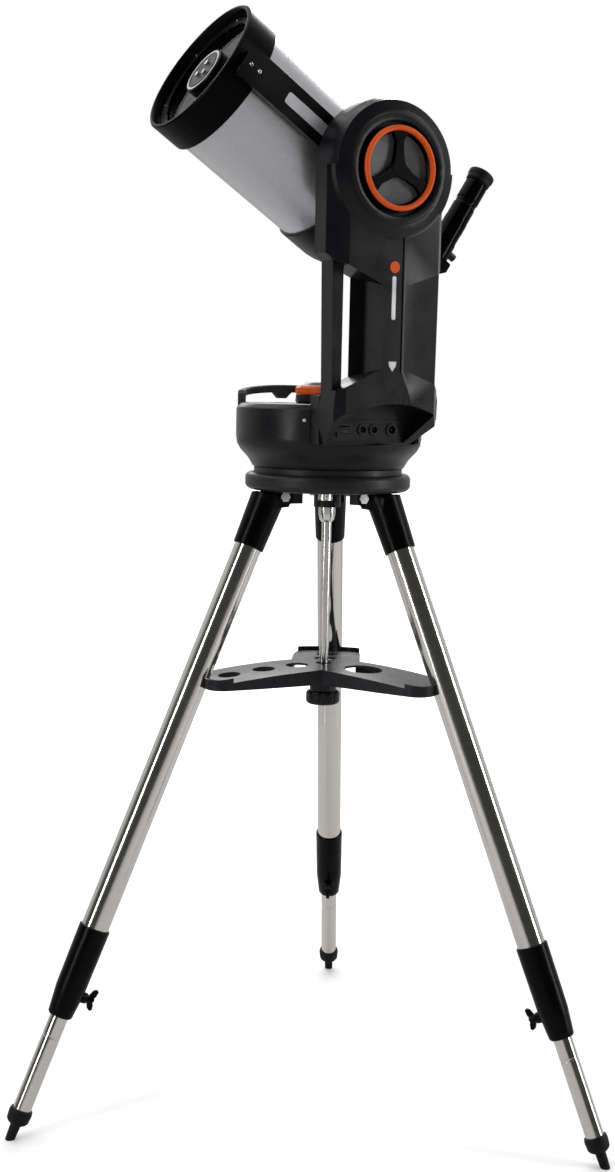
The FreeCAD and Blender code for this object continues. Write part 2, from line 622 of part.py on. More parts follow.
def switch_frame():
    frame = box(-64.5, -41.5, -128.3, -126.7, 950.5, 969.5)
    frame = frame.fuse(box(-61.3, -44.7, -126.8, -112.0, 953.7, 966.3))
    return frame.cut(box(-60.0, -46.0, -140, -114.0, 955.0, 965.0)).removeSplitter()


def power_switch():
    """Rocker that tips about a line across its middle, stored tipped to one side."""
    side = [(-129.2, 964.0), (-127.4, 960.0), (-129.2, 956.0),
            (-123.0, 956.0), (-121.0, 960.0), (-123.0, 964.0)]
    wire = Part.makePolygon([V(-59.7, y, z) for y, z in side + side[:1]])
    rocker = Part.Face(wire).extrude(V(13.4, 0, 0))
    return turned(rocker, SWITCH_TILT, X_AXIS, V(0, -124.5, 960.0))


def control_board():
    """Circuit board in the column with its main components."""
    board = box(-14, 40, -130.0, -128.4, 1050, 1140)
    components = [(0, 1100, 14, 14, 2), (20, 1070, 10, 16, 3), (-4, 1065, 12, 8, 4), (24, 1120, 12, 10, 5)]
    for x, z, w, h, d in components:
        board = board.fuse(box(x, x + w, -130.0 - d, -129.9, z, z + h))
    return board.removeSplitter()


def altitude_drive():
    return moved(motor_unit(20.0), ALT_X, -138.0, ALT_Z - 65.6)


# ---------------------------------------------------------------- optical tube

def in_tube(shape):
    """Take a shape built along +Z, with local +X upwards, into the pointing direction of the tube."""
    tilted = turned(shape, -(90.0 - ALTITUDE), Y_AXIS)
    return moved(tilted, ALT_X, 0, ALT_Z)


def tube_barrel():
    return in_tube(ring(TUBE_OUT_R, TUBE_OUT_R - 1.6, REAR_FRONT - 4, CELL_BACK + 12))


def front_cell():
    profile = [(TUBE_OUT_R, CELL_BACK), (CELL_R - 1.5, CELL_BACK), (CELL_R, CELL_BACK + 1.5),
               (CELL_R, CELL_FRONT - 2.0), (CELL_R - 2.0, CELL_FRONT), (CELL_R - 5.0, CELL_FRONT),
               (CELL_R - 7.0, CELL_FRONT - 3.0), (89.0, 226.0), (86.0, 226.0), (86.0, 220.0),
               (80.0, 220.0), (80.0, 212.0), (88.0, 207.5), (TUBE_OUT_R, 207.5)]
    cell = revolve(profile)
    return in_tube(cell)


def corrector_plate():
    return in_tube(ring(85.8, 27.2, 220.1, 224.1))


def retaining_ring():
    ring_body = ring(88.6, 79.0, 226.1, 228.3)
    screws = []
    for k in range(6):
        screw = cyl(2.2, 228.3, 229.5, 84.0, 0)
        ring_body = ring_body.cut(turned(cyl(1.2, 225, 228.4, 84.0, 0), 60 * k))
        screw = screw.fuse(cyl(1.2, 226.2, 228.3, 84.0, 0)).cut(cyl(1.0, 228.9, 230, 84.0, 0))
        screws.append(turned(screw, 60 * k))
    return in_tube(ring_body), [in_tube(screw) for screw in screws]


def secondary_holder():
    """Central holder clamped through the corrector plate."""
    profile = [(22.0, 204.0), (27.0, 204.0), (27.0, 216.9), (30.5, 216.9), (30.5, 219.9),
               (27.0, 219.9), (27.0, 224.3), (33.5, 224.3), (33.5, 231.5), (32.0, 233.0),
               (0, 233.0), (0, 228.5), (22.0, 226.0)]
    holder = revolve(profile)
    for k in range(3):
        holder = holder.cut(turned(cyl(2.0, 226.0, 240.0, 11.0, 0), 120 * k))
    groove = ring(31.0, 24.5, 232.4, 236.0)
    return in_tube(holder.cut(groove).removeSplitter())


def secondary_trim():
    """Plain light ring set into the face of the holder."""
    return in_tube(ring(30.9, 28.3, 232.4, 233.1))


def collimation_screws():
    screws = []
    for k in range(3):
        screw = cyl(1.95, 214.6, 233.2, 11.0, 0).fuse(cyl(3.4, 233.05, 235.4, 11.0, 0))
        screw = screw.cut(cyl(1.5, 234.2, 236, 11.0, 0))
        screws.append(in_tube(turned(screw, 120 * k)))
    return screws


def secondary_mirror():
    backing = cyl(20.5, 211.5, 214.5)
    mirror = cyl(21.5, 206.0, 211.5)
    sphere = Part.makeSphere(420.0, V(0, 0, 206.0 - 419.2))
    return in_tube(mirror.common(sphere).fuse(backing).cut(cyl(0.5, 200, 203)).removeSplitter())


def rear_cell():
    """Dished casting that closes the back of the tube and carries the baffle and focuser."""
    profile = [(TUBE_OUT_R, REAR_FRONT), (94.6, REAR_FRONT), (95.5, REAR_FRONT - 1.0), (95.5, -38.0),
               (94.0, -50.0), (90.5, -62.0), (84.5, -74.0), (76.0, -84.0), (64.0, -92.0), (48.0, -98.0),
               (34.0, -99.5), (33.0, REAR_BACK), (15.2, REAR_BACK), (15.2, -94.0), (46.0, -93.0),
               (61.0, -87.5), (72.0, -80.0), (79.5, -71.0), (85.0, -60.0), (88.0, -48.0),
               (89.5, -36.0), (89.5, -4.5), (TUBE_OUT_R, -4.5)]
    cell = revolve(profile)
    boss = cyl(17.0, -103.0, -90.0, FOCUS_X, 0)
    cell = cell.fuse(boss).cut(cyl(5.05, -120, -60, FOCUS_X, 0))
    port = ring(33.0, 15.2, -104.0, -92.0)
    return in_tube(cell.fuse(port).removeSplitter())


def baffle_tube():
    return in_tube(ring(15.1, 13.4, -103.5, 62.0))


def primary_mirror():
    """Perforated concave mirror."""
    glass = ring(77.0, 21.0, MIRROR_BACK, MIRROR_BACK + 16.0)
    sphere = Part.makeSphere(600.0, V(0, 0, MIRROR_BACK + 612.0))
    return in_tube(glass.cut(sphere))


def mirror_carrier():
    """Sleeve that slides on the baffle, with the mirror's flange and the nut of the focus screw."""
    back = MIRROR_BACK - 0.1
    sleeve = ring(20.9, 15.15, -82.0, MIRROR_BACK + 42.0)
    flange = ring(40.0, 15.15, back - 3.7, back)
    bridge = box(-52.0, -30.0, -10.0, 10.0, back - 6.0, back)
    nut = cyl(7.5, -78.0, back, FOCUS_X, 0).fuse(cyl(13.0, back - 6.0, back, FOCUS_X, 0))
    bored = fuse([sleeve, flange, bridge, nut]).cut(cyl(5.0, -90.0, -50.0, FOCUS_X, 0))
    return in_tube(bored)


def focus_knob():
    """Ribbed rubber focus knob on its screw."""
    knob = cyl(14.0, -131.0, -104.0, FOCUS_X, 0)
    knob = fillet_edges(knob, 2.0, lambda e: isinstance(e.Curve, Part.Circle) and e.Curve.Center.z < -130)
    for k in range(18):
        a = math.radians(20 * k)
        knob = knob.cut(cyl(0.9, -129.0, -106.0, FOCUS_X + 14.2 * math.cos(a), 14.2 * math.sin(a)))
    screw_end = MIRROR_BACK - 6.0
    knob = knob.fuse(cyl(5.0, -104.5, -92.0, FOCUS_X, 0)).fuse(cyl(4.9, -92.5, screw_end, FOCUS_X, 0))
    return in_tube(knob.removeSplitter())


def visual_back():
    """Threaded adapter that takes the star diagonal, with its ring nut."""
    body = ring(24.0, 15.9, -150.0, REAR_BACK - 0.1)
    nut = ring(27.5, 24.0, -122.0, REAR_BACK - 0.3)
    for k in range(30):
        nut = nut.cut(turned(cyl(0.8, -130, -100, 27.7, 0), 12 * k))
    clamp = ring(26.0, 24.0, -148.0, -134.0)
    for k in range(30):
        clamp = clamp.cut(turned(cyl(0.7, -150, -130, 26.2, 0), 12 * k))
    return in_tube(body.fuse(nut).fuse(clamp).removeSplitter())


def mirror_room(r, depth):
    """Disc in the corner of the diagonal, facing both the nose and the socket."""
    return Part.makeCylinder(r, depth, V(-1, 0, DIAG_S - 1), V(-1, 0, -1))


def mirror_side(shape):
    """The part of a bore that lies on the reflecting side of the mirror."""
    behind = prism_xz([(60, DIAG_S - 62), (-62, DIAG_S + 60), (-62, DIAG_S - 62)], -40, 40)
    return shape.cut(behind)


def diagonal_housing():
    """Right-angle mirror housing with its nose tube and eyepiece socket."""
    low = DIAG_S - 19.0
    high = DIAG_S + 22.0
    block = prism_xz([(-19, high), (-19, DIAG_S + 6), (6, low), (20, low), (20, high)], -18.5, 18.5)
    block = fillet_edges(block, 2.5, lambda e: abs(e.tangentAt(e.FirstParameter).y) > 0.9)
    nose = cyl(15.85, high - 1, -118.0)
    collar = cyl(17.8, high - 0.5, -150.6)
    socket = Part.makeCylinder(18.2, 30.0, V(18.0, 0, DIAG_S), X_AXIS)
    shape = block.fuse(nose).fuse(collar).fuse(socket)
    shape = shape.cut(mirror_side(cyl(12.5, DIAG_S - 20, -117.0)))
    shape = shape.cut(mirror_side(Part.makeCylinder(12.5, 80.0, V(-20, 0, DIAG_S), X_AXIS)))
    shape = shape.cut(Part.makeCylinder(15.95, 42.0, V(16.0, 0, DIAG_S), X_AXIS))
    shape = shape.cut(mirror_room(12.3, 3.4))
    shape = shape.cut(Part.makeCylinder(2.5, 40, V(38.0, 0, DIAG_S), V(0, 0, -1)))
    return in_tube(shape.removeSplitter())


def diagonal_mirror():
    return in_tube(mirror_room(12.0, 3.0))


def diagonal_screw():
    screw = Part.makeCylinder(2.45, 8.0, V(38.0, 0, DIAG_S - 16.2), V(0, 0, -1))
    head = Part.makeCylinder(5.5, 9.0, V(38.0, 0, DIAG_S - 19.0), V(0, 0, -1))
    return in_tube(screw.fuse(head).removeSplitter())


def along_eye(profile):
    """Turn a profile about the eyepiece axis; its heights count from the optical axis."""
    shape = turned(revolve(profile), 90, Y_AXIS)
    return moved(shape, 0, 0, DIAG_S)


def eyepiece_body():
    profile = [(13.0, 24.0), (15.85, 24.0), (15.85, 48.3), (17.0, 48.3), (17.3, 50.0), (17.3, 66.0),
               (17.8, 68.0), (17.8, 84.0), (17.3, 86.0), (17.3, 108.0), (16.2, 110.0), (16.2, 117.0),
               (17.3, 119.0), (17.3, 146.0), (15.5, 149.0), (11.0, 149.0), (11.0, 141.0), (13.0, 138.0)]
    return in_tube(along_eye(profile))


def eyepiece_lenses():
    eye = along_eye([(0, 138.0), (12.9, 138.0), (12.9, 132.0), (0, 130.0)])
    field = along_eye([(0, 84.0), (12.9, 84.0), (12.9, 92.0), (0, 94.0)])
    return in_tube(Part.makeCompound([eye, field]))


def eyecup():
    profile = [(13.0, 149.1), (17.0, 149.1), (18.2, 152.0), (18.4, 157.0), (19.6, 159.5),
               (19.6, EYE_TOP - 0.8), (18.8, EYE_TOP), (16.6, EYE_TOP), (14.5, 158.0), (13.0, 155.0)]
    return in_tube(along_eye(profile))


def dovetail_bar():
    """Long bar with bevelled flanks along the arm side of the tube, on two blocks."""
    section = [(-22.0, -110.0), (-20.0, -98.6), (20.0, -98.6), (22.0, -110.0)]
    bar = prism_xy(section, -62.0, 226.0)
    bar = bar.cut(prism_xz([(-30, 214), (-17, 226.5), (-30, 226.5)], -120, -90))
    bar = bar.cut(prism_xz([(30, 214), (17, 226.5), (30, 226.5)], -120, -90))
    bar = bar.cut(box(-8.2, 8.2, -111, -109.4, 57.8, 156.2))
    for s in (204.0, 218.0, -26.0):
        bar = bar.cut(Part.makeCylinder(3.0, 4.0, V(0, -107.0, s), V(0, -1, 0)))
        bar = bar.cut(Part.makeCylinder(1.7, 20.0, V(0, -95.0, s), V(0, -1, 0)))
    rear_block = box(-14, 14, -98.6, -93.9, -34, -18).cut(cyl(95.55, -100, 0))
    return in_tube(bar.fuse(rear_block).removeSplitter())


def bar_screws():
    screws = []
    for s in (204.0, 218.0, -26.0):
        screw = Part.makeCylinder(2.8, 2.6, V(0, -107.1, s), V(0, -1, 0))
        screw = screw.fuse(Part.makeCylinder(1.65, 8.6, V(0, -98.7, s), V(0, -1, 0)))
        screws.append(in_tube(screw.cut(Part.makeCylinder(1.3, 2.0, V(0, -108.6, s), V(0, -1, 0)))))
    return screws


def bar_plate():
    """Bright plain plate let into the bar."""
    plate = box(-8.0, 8.0, -109.9, -109.4, 58.0, 156.0)
    plate = fillet_edges(plate, 3.0, lambda e: abs(e.tangentAt(e.FirstParameter).y) > 0.9)
    return in_tube(plate)


def saddle():
    """Clamp on the altitude shaft that holds the dovetail bar."""
    plate = box(-34, 34, -117.3, -110.3, -52, 52)
    plate = fillet_edges(plate, 12.0, lambda e: abs(e.tangentAt(e.FirstParameter).y) > 0.9)
    jaw_a = prism_xy([(22.4, -110.4), (20.9, -101.5), (31.0, -101.5), (34.0, -110.4)], -45, 45)
    jaw_b = prism_xy([(-22.4, -110.4), (-20.9, -101.5), (-31.0, -101.5), (-34.0, -110.4)], -45, 45)
    shape = plate.fuse(jaw_a).fuse(jaw_b)
    shape = shape.cut(Part.makeCylinder(3.05, 30, V(-20, 0, 0), V(-1, 0, 0)))
    shape = shape.cut(Part.makeCylinder(3.05, 14, V(-22, -105.9, 0), V(-1, 0, 0)))
    return in_tube(shape.removeSplitter())


def saddle_knob():
    stem = Part.makeCylinder(3.0, 12.0, V(-24.0, -105.9, 0), V(-1, 0, 0))
    grip = Part.makeCylinder(9.4, 16.0, V(-36.0, -105.9, 0), V(-1, 0, 0))
    for k in range(8):
        a = math.radians(45 * k)
        start = V(-38.5, -105.9 + 9.7 * math.cos(a), 9.7 * math.sin(a))
        groove = Part.makeCylinder(1.4, 20.0, start, V(-1, 0, 0))
        grip = grip.cut(groove)
    return in_tube(stem.fuse(grip).removeSplitter())


def altitude_shaft():
    """Shaft through the arm bearing, with the flange under the saddle."""
    flange = cyl(21.95, 117.4, 122.5)
    shaft = cyl(12.0, 122.0, 158.0).fuse(cyl(5.0, 157.5, 168.0))
    return at_altitude(flange.fuse(shaft), 0).removeSplitter()


def altitude_gear():
    """Worm wheel on the altitude shaft."""
    gear = toothed_disc(56.5, 58.5, 90, 134.0, 142.0)
    gear = gear.fuse(cyl(22.0, 129.0, 150.0)).cut(cyl(12.0, 100, 200))
    for k in range(6):
        gear = gear.cut(turned(cyl(10.5, 100, 200, 39.0, 0), 60 * k + 30))
    return at_altitude(gear, 0)


def altitude_knob_parts():
    """Clutch knob: black dished cup with three grip ribs, and a coloured rim."""
    cup = revolve([(0, 164.5), (50.5, 164.5), (KNOB_R, 168.0), (KNOB_R, 174.0), (50.0, 174.0),
                   (47.0, 173.0), (44.5, 168.5), (20.0, 167.0), (0, 168.0)])
    ribs = cyl(11.0, 166.0, 175.6)
    for k in range(3):
        rib = prism_xy([(0, -10.5), (18, -6.0), (34, -5.5), (46, -11.0),
                        (46, 11.0), (34, 5.5), (18, 6.0), (0, 10.5)], 166.0, 175.0)
        ribs = ribs.fuse(turned(rib, 120 * k + 90))
    cup = cup.fuse(ribs.common(cyl(46.5, 160, 180)))
    cup = cup.cut(cyl(5.05, 160.0, 168.5))
    rim = revolve([(47.0, 174.1), (53.2, 174.1), (54.0, 176.0), (53.6, 178.2), (52.0, 179.8),
                   (50.0, 180.2), (48.0, 179.4), (47.0, 177.6)])
    return at_altitude(cup.removeSplitter(), 0), at_altitude(rim, 0)


def finder_turn(shape):
    """Turn a finder piece built on the +X side of the tube to its place on the rear cell."""
    return in_tube(turned(shape, FINDER_TURN))


def finder_bracket():
    """Foot on the rear cell with the rail of the sight."""
    post = box(94.0, 103.5, -9.0, 9.0, -34.0, -16.0).cut(cyl(95.55, -100, 20))
    rail = box(103.0, 107.0, -12.0, 12.0, -62.0, -14.0)
    rail = fillet_edges(rail, 1.2, lambda e: abs(e.tangentAt(e.FirstParameter).z) > 0.9)
    return finder_turn(post.fuse(rail).removeSplitter())


def finder_body():
    """Unlit reflex sight: lamp at the back, window frame in front and a flat hood over both."""
    base = box(107.0, 113.0, -10.5, 10.5, -61.0, -17.0)
    hood = box(124.5, 129.0, -10.5, 10.5, -60.0, -22.0)
    frame = box(112.5, 125.0, -10.5, 10.5, -27.0, -22.0).cut(box(113.0, 124.5, -7.5, 7.5, -34.0, -14.0))
    shape = fuse([base, hood, frame, Part.makeCylinder(2.5, 8.0, V(115.0, 0, -56.0), Z_AXIS)])
    for side in (-1, 1):
        shape = shape.fuse(box(112.5, 125.0, side * 9.0 - 1.5, side * 9.0 + 1.5, -60.0, -54.0))
    return finder_turn(shape.removeSplitter())


def finder_window():
    return finder_turn(box(113.0, 124.5, -7.5, 7.5, -25.3, -23.7))


# ---------------------------------------------------------------- write the nodes

def write_tripod():
    write("tripod_head", tripod_head())
    write("centre_rod", centre_rod())
    hinge_bolts = [turned(hinge_bolt(), azimuth) for azimuth in LEG_AZIMUTHS]
    write("head_bolts", Part.makeCompound(hinge_bolts + mounting_bolts()))
    write("tray", tray())
    write("tray_knob", tray_knob())
    pieces = {"upper_tube": upper_tube(), "leg_castings": Part.makeCompound([leg_bracket(), leg_sleeve()]),
              "leg_knob": leg_knob(), "lower_tube": lower_tube(), "foot": foot()}
    for azimuth, side in zip(LEG_AZIMUTHS, ("back", "left", "right")):
        for name, piece in pieces.items():
            write(name + "_" + side, turned(piece, azimuth))


def write_mount():
    write("base_plate", Part.makeCompound([base_plate(), azimuth_gear()]))
    write("base_housing", base_housing().fuse(base_deck()).removeSplitter())
    write("carry_handle", carry_handle())
    knob, band = azimuth_knob_parts()
    write("azimuth_knob", knob)
    write("azimuth_knob_band", band)
    write("electronics", Part.makeCompound([battery_pack(), control_board()]))
    write("drive_units", Part.makeCompound([azimuth_drive(), altitude_drive()]))
    write("arm_shell", arm_shell())
    write("arm_cover", arm_cover())
    badge, marks = trim_emblems()
    write("trim_badge", badge)
    write("trim_marks", marks)
    write("port_panel", Part.makeCompound([port_panel(), switch_frame()] + port_jacks()))
    write("power_switch", power_switch())


def write_optics():
    write("tube_barrel", tube_barrel())
    write("front_cell", front_cell())
    write("corrector_plate", corrector_plate())
    plate_ring, screws = retaining_ring()
    write("retaining_ring", plate_ring)
    write("tube_screws", Part.makeCompound(screws + collimation_screws() + bar_screws()))
    write("secondary_holder", secondary_holder())
    write("tube_plates", Part.makeCompound([secondary_trim(), bar_plate()]))
    write("secondary_mirror", secondary_mirror())
    write("rear_cell", Part.makeCompound([rear_cell(), baffle_tube()]))
    write("primary_mirror", primary_mirror())
    write("mirror_carrier", mirror_carrier())
    write("focus_knob", focus_knob())
    write("visual_back", visual_back())
    write("diagonal_housing", diagonal_housing())
    write("diagonal_mirror", diagonal_mirror())
    write("diagonal_screw", diagonal_screw())
    write("eyepiece_body", eyepiece_body())
    write("eyepiece_lenses", eyepiece_lenses())
    write("eyecup", eyecup())
    write("dovetail_bar", dovetail_bar())
    write("saddle", saddle())
    write("saddle_knob", saddle_knob())
    write("altitude_shaft", Part.makeCompound([altitude_shaft(), altitude_gear()]))
    cup, rim = altitude_knob_parts()
    write("altitude_knob", cup)
    write("altitude_knob_rim", rim)
    write("finder_body", finder_bracket().fuse(finder_body()).removeSplitter())
    write("finder_window", finder_window())


write_tripod()
write_mount()
write_optics()
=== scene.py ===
import math

import bmesh
import bpy
from mathutils import Matrix, Vector

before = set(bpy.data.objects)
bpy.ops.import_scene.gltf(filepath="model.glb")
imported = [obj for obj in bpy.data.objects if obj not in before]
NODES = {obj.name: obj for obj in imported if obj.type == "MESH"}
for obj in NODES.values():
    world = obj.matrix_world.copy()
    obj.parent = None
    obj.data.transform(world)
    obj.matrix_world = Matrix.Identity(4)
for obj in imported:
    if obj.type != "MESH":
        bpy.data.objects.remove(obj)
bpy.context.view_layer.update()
SCENE = bpy.context.scene

# Metres, in the row frame: +Z up, origin on the floor under the azimuth axis.
ALTITUDE = math.radians(32.9)
ALT_AXIS = Vector((-0.008, 0.0, 1.29535))
TUBE_DIR = Vector((-math.cos(ALTITUDE), 0.0, math.sin(ALTITUDE)))
TUBE_UP = Vector((math.sin(ALTITUDE), 0.0, math.cos(ALTITUDE)))
LEG_AZIMUTHS = {"back": 56.26, "left": 176.26, "right": 296.26}
LEG_TOP_R = 0.0916
LEG_TOP_Z = 0.8643
FOOT_R = 0.460
LEG_TILT = math.atan2(FOOT_R - LEG_TOP_R, LEG_TOP_Z)

# Camera of the main view, in metres and millimetres of lens.
CAMERA_PLACE = (-1.16406, -1.92963, 1.01667)
CAMERA_RIGHT = (0.86312, -0.50456, 0.02107)
CAMERA_UP = (0.04471, 0.11791, 0.99202)
LENS = 49.11

# Stage: the white floor starts to glow at GLOW_START from the axis and glows fully from GLOW_END.
FLOOR_RADIUS = 14.0
GLOW_START = 0.6
GLOW_END = 2.6

# Finish of the carried-over meshes, in metres and degrees.
WELD_DISTANCE = 0.000005
EDGE_ROUNDING = 0.0005
SMOOTH_BELOW = 38
BEVEL_ABOVE = 35

# Sockets of a colour Mix node.
MIX_A = 6
MIX_B = 7
MIX_RESULT = 2


def tube_matrix():
    """From the tube's own frame (X up across the tube, Z forward along it) to the row frame."""
    turn = Matrix((TUBE_UP, Vector((0, 1, 0)), TUBE_DIR)).transposed()
    return Matrix.Translation(ALT_AXIS) @ turn.to_4x4()


# ---------------------------------------------------------------- camera

def make_camera():
    data = bpy.data.cameras.new("camera")
    data.lens = LENS
    data.sensor_width = 36.0
    data.clip_end = 100.0
    camera = bpy.data.objects.new("camera", data)
    right = Vector(CAMERA_RIGHT)
    up = Vector(CAMERA_UP)
    back = right.cross(up).normalized()
    turn = Matrix((right, up, back)).transposed()
    camera.matrix_world = Matrix.Translation(CAMERA_PLACE) @ turn.to_4x4()
    SCENE.collection.objects.link(camera)
    SCENE.camera = camera


# ---------------------------------------------------------------- materials

def link(material, a, out, b, socket):
    material.node_tree.links.new(a.outputs[out], b.inputs[socket])


def noise(material, coords, size, detail=3.0, rough=0.55, stretch=None, turn=None):
    """Noise whose features are about size metres across; stretch scales each axis."""
    source = coords
    if stretch or turn:
        mapping = material.node_tree.nodes.new("ShaderNodeMapping")
        mapping.vector_type = "TEXTURE"
        if turn:
            mapping.inputs["Rotation"].default_value = turn
        if stretch:
            mapping.inputs["Scale"].default_value = stretch
        link(material, source[0], source[1], mapping, "Vector")
        source = (mapping, "Vector")
    made = material.node_tree.nodes.new("ShaderNodeTexNoise")
    made.inputs["Scale"].default_value = 1.0 / size
    made.inputs["Detail"].default_value = detail
    made.inputs["Roughness"].default_value = rough
    link(material, source[0], source[1], made, "Vector")
    return made


def ramp(material, source, low, high, start=0.35, end=0.65, out="Fac"):
    made = material.node_tree.nodes.new("ShaderNodeMapRange")
    made.inputs["From Min"].default_value = start
    made.inputs["From Max"].default_value = end
    made.inputs["To Min"].default_value = low
    made.inputs["To Max"].default_value = high
    link(material, source, out, made, "Value")
    return made


def mix_colour(material, fac, a, b):
    """Mix of two colours by the value output of node fac. Each is a colour tuple or a node."""
    made = material.node_tree.nodes.new("ShaderNodeMix")
    made.data_type = "RGBA"
    material.node_tree.links.new(fac.outputs[0], made.inputs[0])
    for index, value in ((MIX_A, a), (MIX_B, b)):
        if isinstance(value, tuple):
            made.inputs[index].default_value = (*value, 1.0)
        else:
            material.node_tree.links.new(value.outputs[MIX_RESULT], made.inputs[index])
    return made


def start_material(name):
    material = bpy.data.materials.new(name)
    material.use_nodes = True
    shader = material.node_tree.nodes["Principled BSDF"]
    coords = (material.node_tree.nodes.new("ShaderNodeTexCoord"), "Object")
    return material, shader, coords


def bump(material, shader, sources):
    """Chain of bumps; each source is (node, output, height in metres)."""
    last = None
    for source, out, height in sources:
        made = material.node_tree.nodes.new("ShaderNodeBump")
        made.inputs["Strength"].default_value = 1.0
        made.inputs["Distance"].default_value = height
        link(material, source, out, made, "Height")
        if last:
            link(material, last, "Normal", made, "Normal")
        last = made
    link(material, last, "Normal", shader, "Normal")


def coated(name, dark, light, rough, grain=(0.0006, 0.00003), wave=(0.012, 0.00004), metallic=0.0,
           specular=0.28, wear=None):
    """Painted, moulded or anodised surface with grain, waviness, mottled gloss and worn edges.

    grain and wave are each a size and a height in metres.
    """
    material, shader, coords = start_material(name)
    broad = noise(material, coords, 0.05, 4.0)
    fine = noise(material, coords, grain[0], 2.0)
    waves = noise(material, coords, wave[0], 1.0)
    colour = mix_colour(material, ramp(material, broad, 0.0, 1.0, 0.3, 0.7), dark, light)
    if wear:
        geometry = material.node_tree.nodes.new("ShaderNodeNewGeometry")
        worn = ramp(material, geometry, 0.0, 1.0, 0.54, 0.62, "Pointiness")
        spots = ramp(material, noise(material, coords, 0.006, 5.0), 0.0, 1.0, 0.48, 0.62)
        both = material.node_tree.nodes.new("ShaderNodeMath")
        both.operation = "MULTIPLY"
        link(material, worn, 0, both, 0)
        link(material, spots, 0, both, 1)
        colour = mix_colour(material, both, colour, wear)
    link(material, colour, MIX_RESULT, shader, "Base Color")
    link(material, ramp(material, broad, rough[0], rough[1]), 0, shader, "Roughness")
    bump(material, shader, [(waves, "Fac", wave[1]), (fine, "Fac", grain[1])])
    shader.inputs["Metallic"].default_value = metallic
    shader.inputs["Specular IOR Level"].default_value = specular
    return material


def steel(name, tint, rough, turn, lines=0.0004, height=0.000004):
    """Ground or polished metal with fine rings round a tube whose axis is the turned Z."""
    material, shader, coords = start_material(name)
    rings = noise(material, coords, lines, 2.0, 0.6, (60.0, 60.0, 1.0), turn)
    smears = noise(material, coords, 0.03, 5.0, 0.6, (1.0, 1.0, 4.0), turn)
    tone = ramp(material, rings, 0.0, 1.0, 0.3, 0.7)
    darker = tuple(c * 0.86 for c in tint)
    link(material, mix_colour(material, tone, darker, tint), MIX_RESULT, shader, "Base Color")
    link(material, ramp(material, smears, rough[0], rough[1]), 0, shader, "Roughness")
    bump(material, shader, [(rings, "Fac", height)])
    shader.inputs["Metallic"].default_value = 1.0
    return material


def tube_paint(name, dark, light):
    """Metallic paint under clear lacquer, with fine flakes."""
    material, shader, coords = start_material(name)
    flakes = material.node_tree.nodes.new("ShaderNodeTexVoronoi")
    flakes.inputs["Scale"].default_value = 1.0 / 0.0005
    link(material, coords[0], coords[1], flakes, "Vector")
    broad = noise(material, coords, 0.08, 3.0)
    peel = noise(material, coords, 0.0035, 1.0)
    sparkle = ramp(material, flakes, 0.0, 1.0, 0.0, 1.0, "Color")
    colour = mix_colour(material, sparkle, dark, light)
    link(material, colour, MIX_RESULT, shader, "Base Color")
    link(material, ramp(material, broad, 0.30, 0.36), 0, shader, "Roughness")
    bump(material, shader, [(peel, "Fac", 0.000006)])
    shader.inputs["Metallic"].default_value = 0.85
    shader.inputs["Coat Weight"].default_value = 1.0
    shader.inputs["Coat Roughness"].default_value = 0.06
    return material


def glass(name, tint):
    material, shader, coords = start_material(name)
    film = noise(material, coords, 0.03, 4.0)
    warmer = tuple(min(1.0, c * 1.03) for c in tint)
    colour = mix_colour(material, ramp(material, film, 0.0, 1.0), tint, warmer)
    link(material, colour, MIX_RESULT, shader, "Base Color")
    link(material, ramp(material, film, 0.0, 0.015), 0, shader, "Roughness")
    shader.inputs["Transmission Weight"].default_value = 1.0
    shader.inputs["IOR"].default_value = 1.16
    return material


def mirror(name):
    material, shader, coords = start_material(name)
    film = noise(material, coords, 0.04, 4.0)
    haze = ramp(material, film, 0.0, 1.0)
    colour = mix_colour(material, haze, (0.86, 0.88, 0.90), (0.93, 0.93, 0.94))
    link(material, colour, MIX_RESULT, shader, "Base Color")
    link(material, ramp(material, film, 0.01, 0.03), 0, shader, "Roughness")
    shader.inputs["Metallic"].default_value = 1.0
    return material


def circuit(name):
    """Green solder mask, paler over the tracks below it."""
    material, shader, coords = start_material(name)
    tracks = material.node_tree.nodes.new("ShaderNodeTexBrick")
    tracks.inputs["Scale"].default_value = 120.0
    tracks.inputs["Color1"].default_value = (0.01, 0.12, 0.05, 1)
    tracks.inputs["Color2"].default_value = (0.01, 0.10, 0.04, 1)
    tracks.inputs["Mortar"].default_value = (0.05, 0.22, 0.09, 1)
    link(material, coords[0], coords[1], tracks, "Vector")
    link(material, tracks, "Color", shader, "Base Color")
    link(material, ramp(material, noise(material, coords, 0.01), 0.3, 0.45), 0, shader, "Roughness")
    return material


